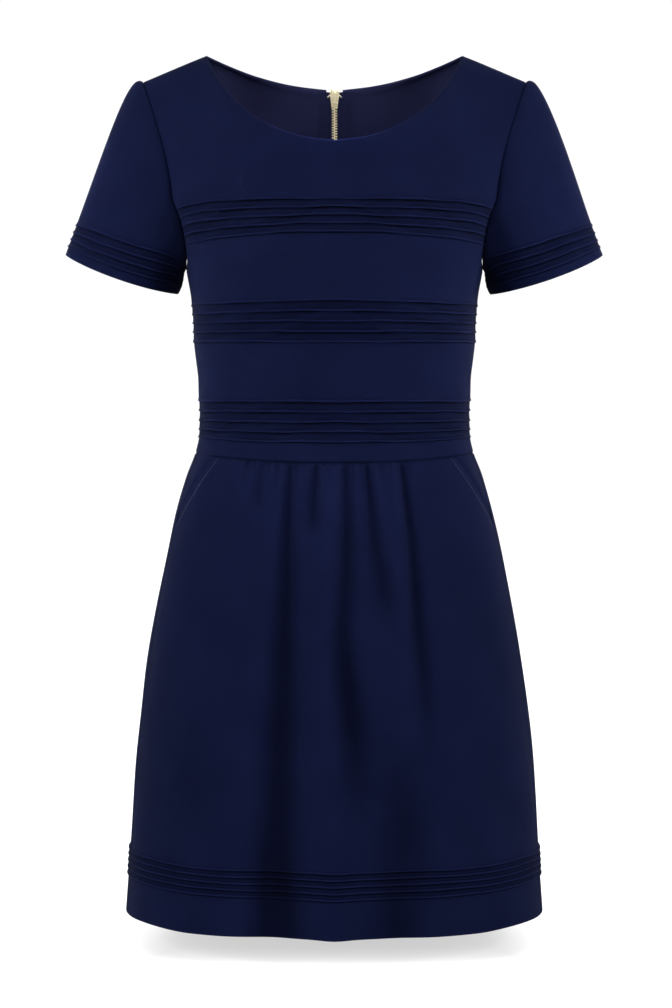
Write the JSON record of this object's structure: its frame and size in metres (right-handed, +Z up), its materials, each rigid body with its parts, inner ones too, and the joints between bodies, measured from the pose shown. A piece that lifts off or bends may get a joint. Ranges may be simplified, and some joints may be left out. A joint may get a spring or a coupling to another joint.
{
  "type": "a-line dress",
  "caption": "Short-sleeved navy knit a-line dress with tucked bands, gathered waist, slant pockets and a metal back zip.",
  "frame": {"origin": "midway between the two high shoulder points, where the wearer's shoulders hold the dress", "axes": "+Z up the body, front of the dress towards -Y, the wearer's left towards +X"},
  "size_m": [0.5482, 0.31, 0.8786],
  "materials": {
    "navy_knit": "matt, smooth double knit",
    "zip_tape": "woven herringbone tape",
    "zip_metal": "polished light gold"
  },
  "bodies": {
    "dress": {"bodice_front": "navy_knit", "bodice_back_left": "navy_knit", "bodice_back_right": "navy_knit", "sleeve_left": "navy_knit", "sleeve_right": "navy_knit", "skirt_front": "navy_knit", "skirt_back_left": "navy_knit", "skirt_back_right": "navy_knit", "hip_piece_left": "navy_knit", "hip_piece_right": "navy_knit", "zip_tape_left": "zip_tape", "zip_tape_right": "zip_tape", "zip_teeth_left": "zip_metal", "zip_teeth_right": "zip_metal", "zip_slider": "zip_metal"},
    "pull_tab": {"zip_pull_tab": "zip_metal"}
  },
  "joints": [
    {"name": "pull_tab_hinge", "type": "hinge", "parent": "dress", "child": "pull_tab", "pos_m": [0, 0.07648, -0.0393], "axis": [1, 0, 0], "range_deg": [0, 160]}
  ]
}
